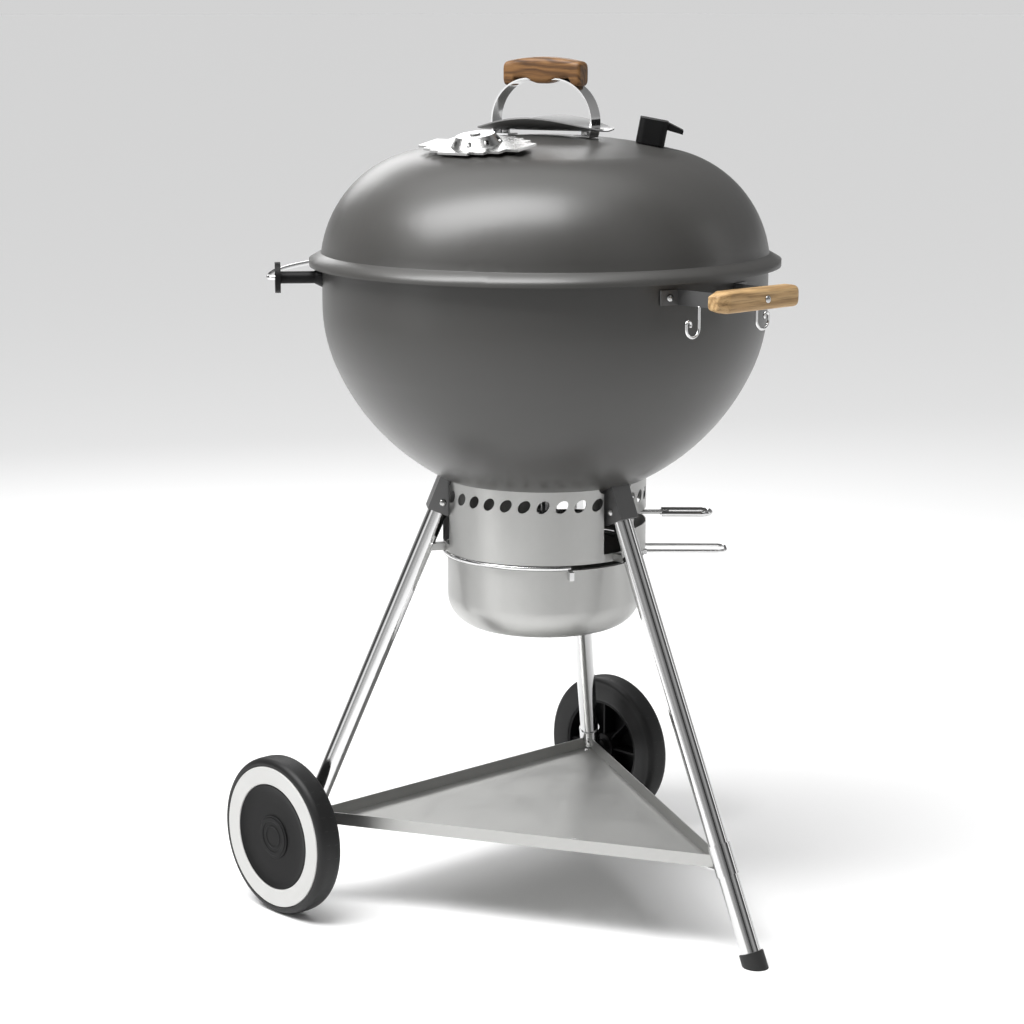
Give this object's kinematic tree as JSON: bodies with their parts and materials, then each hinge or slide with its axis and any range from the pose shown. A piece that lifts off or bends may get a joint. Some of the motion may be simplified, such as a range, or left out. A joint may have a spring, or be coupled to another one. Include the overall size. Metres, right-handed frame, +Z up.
{
  "type": "kettle charcoal grill",
  "caption": "Round lidded charcoal grill on a wheeled tripod stand, with a lift-off lid, hinged grate, ash catcher, vent sweep, tray and wooden grips.",
  "frame": {"origin": "on the ground under the axis of the bowl", "axes": "+Z up along the bowl's axis; the front with the carry bar and the leg without a wheel faces -Y; the wheels' axle runs along X"},
  "size_m": [0.6336, 0.745, 1.0924],
  "materials": {
    "enamel": "gloss porcelain enamel, warm dark grey",
    "brushed_aluminium": "brushed",
    "chrome": "polished plating",
    "plated_steel": "zinc plated, satin",
    "satin_steel": "satin dark grey",
    "rubber": "matt",
    "tyre": "matt",
    "whitewall": "matt off-white",
    "black_plastic": "fine grain",
    "lid_wood": "oiled, figured brown",
    "bar_wood": "oiled, straw brown",
    "dial": "printed face without lettering",
    "pointer": "red",
    "lens": "clear"
  },
  "bodies": {
    "stand": {"bowl_shell": "enamel", "leg_sockets": "satin_steel", "socket_screws": "plated_steel", "leg_front": "chrome", "leg_left": "chrome", "leg_right": "chrome", "foot_cap": "rubber", "leg_plugs": "black_plastic", "axle": "plated_steel", "axle_retainers": "plated_steel", "tray": "brushed_aluminium", "tray_clips": "chrome", "tray_rivets": "plated_steel", "ash_ring": "brushed_aluminium", "ring_clips": "brushed_aluminium", "carry_bracket": "chrome", "carry_bar": "bar_wood", "carry_screws": "plated_steel", "tool_hooks": "chrome", "holder_spools": "black_plastic", "holder_bolts": "plated_steel", "holder_wire": "chrome", "grate_tabs": "plated_steel"},
    "wheel_left": {"tyre_left": "tyre", "whitewall_left": "whitewall", "wheel_hub_left": "black_plastic", "hub_cap_left": "black_plastic"},
    "wheel_right": {"tyre_right": "tyre", "whitewall_right": "whitewall", "wheel_hub_right": "black_plastic", "hub_cap_right": "black_plastic"},
    "sweep": {"sweep_blades": "brushed_aluminium", "sweep_shaft": "plated_steel", "sweep_lever": "plated_steel", "sweep_loop": "chrome", "sweep_nut": "plated_steel"},
    "ash_catcher": {"ash_pot": "brushed_aluminium", "ash_wire_handle": "chrome", "ash_latch": "chrome"},
    "charcoal_grate": {"charcoal_grate": "plated_steel"},
    "cooking_grate": {"cooking_grate": "chrome", "grate_lift_handles": "chrome"},
    "flap_left": {"grate_flap_left": "chrome"},
    "flap_right": {"grate_flap_right": "chrome"},
    "lid": {"lid_shell": "enamel", "lid_strap": "chrome", "lid_grip": "lid_wood", "lid_grip_screws": "plated_steel", "lid_shield": "satin_steel", "lid_bolts": "plated_steel", "vent_rivet": "plated_steel", "thermo_housing": "black_plastic", "thermo_dial": "dial", "thermo_lens": "lens", "thermo_pointer": "pointer", "thermo_stem": "plated_steel", "thermo_nut": "plated_steel"},
    "lid_vent": {"vent_plate": "chrome"}
  },
  "joints": [
    {"name": "lid_lift", "type": "slide", "parent": "stand", "child": "lid", "axis": [0, 0, 1], "range_m": [0, 0.3]},
    {"name": "vent_turn", "type": "hinge", "parent": "lid", "child": "lid_vent", "pos_m": [-0.13002, -0.01597, 0.98412], "axis": [-0.1814, -0.0223, 0.9832], "range_deg": [0, 45]},
    {"name": "wheel_left_spin", "type": "hinge", "parent": "stand", "child": "wheel_left", "pos_m": [-0.3, 0.176, 0.103], "axis": [1, 0, 0], "continuous": true},
    {"name": "wheel_right_spin", "type": "hinge", "parent": "stand", "child": "wheel_right", "pos_m": [0.3, 0.176, 0.103], "axis": [1, 0, 0], "continuous": true},
    {"name": "sweep_turn", "type": "hinge", "parent": "stand", "child": "sweep", "pos_m": [0, 0, 0.53], "axis": [0, 0, 1], "range_deg": [-24, 24]},
    {"name": "ash_catcher_drop", "type": "slide", "parent": "stand", "child": "ash_catcher", "axis": [0, 0, -1], "range_m": [0, 0.1]},
    {"name": "charcoal_grate_lift", "type": "slide", "parent": "stand", "child": "charcoal_grate", "axis": [0, 0, 1], "range_m": [0, 0.03]},
    {"name": "cooking_grate_lift", "type": "slide", "parent": "stand", "child": "cooking_grate", "axis": [0, 0, 1], "range_m": [0, 0.03]},
    {"name": "flap_left_turn", "type": "hinge", "parent": "cooking_grate", "child": "flap_left", "pos_m": [-0.152, 0, 0.802], "axis": [0, 1, 0], "range_deg": [0, 90]},
    {"name": "flap_right_turn", "type": "hinge", "parent": "cooking_grate", "child": "flap_right", "pos_m": [0.152, 0, 0.802], "axis": [0, -1, 0], "range_deg": [0, 90]}
  ]
}
